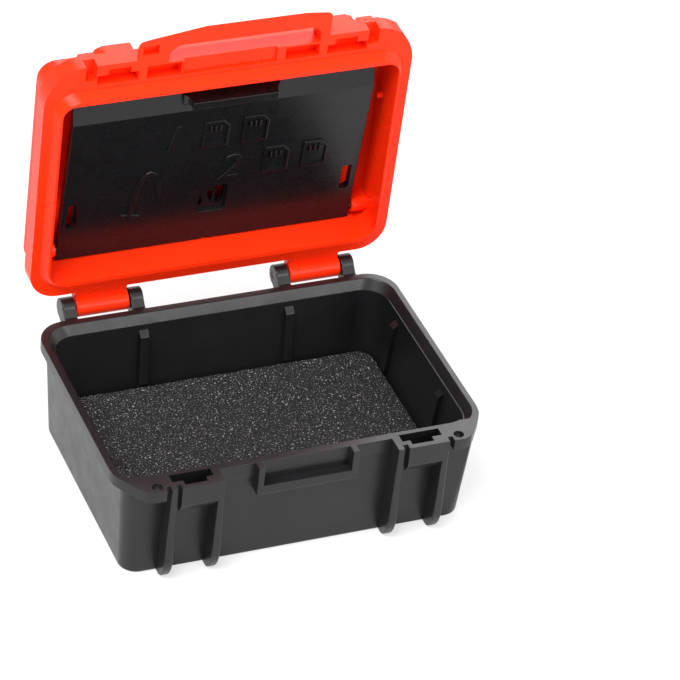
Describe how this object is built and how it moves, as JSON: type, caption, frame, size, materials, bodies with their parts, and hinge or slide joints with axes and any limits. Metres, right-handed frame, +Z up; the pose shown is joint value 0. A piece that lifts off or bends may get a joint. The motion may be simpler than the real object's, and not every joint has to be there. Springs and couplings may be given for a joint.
{
  "type": "memory card case",
  "caption": "Small hinged hard case for memory cards: black base with a foam pad, orange flanged lid with a fixed handle, and a hinged card flap inside the lid.",
  "frame": {"origin": "centre of the base's rim outline, front to back and side to side, at the flat face that the base rests on", "axes": "+Z up from the resting face, +Y towards the hinge, +X to the right when the catch side is seen; the lid stands open at rest"},
  "size_m": [0.096, 0.0862, 0.1116],
  "materials": {
    "base_black": "fine satin",
    "lid_orange": "satin gloss",
    "flap_black": "smooth semi-gloss",
    "pin_steel": "plain",
    "foam_grey": "open-cell foam"
  },
  "bodies": {
    "base": {"base_shell": "base_black", "foam_pad": "foam_grey", "hinge_pin_left": "pin_steel", "hinge_pin_right": "pin_steel"},
    "lid": {"lid_shell": "lid_orange"},
    "flap": {"card_flap": "flap_black"}
  },
  "joints": [
    {"name": "lid_hinge", "type": "hinge", "parent": "base", "child": "lid", "pos_m": [0, 0.0395, 0.0294], "axis": [1, 0, 0], "range_deg": [0, 87]},
    {"name": "flap_hinge", "type": "hinge", "parent": "lid", "child": "flap", "pos_m": [0, 0.04519, 0.04402], "axis": [1, 0, 0], "range_deg": [0, 20]}
  ]
}
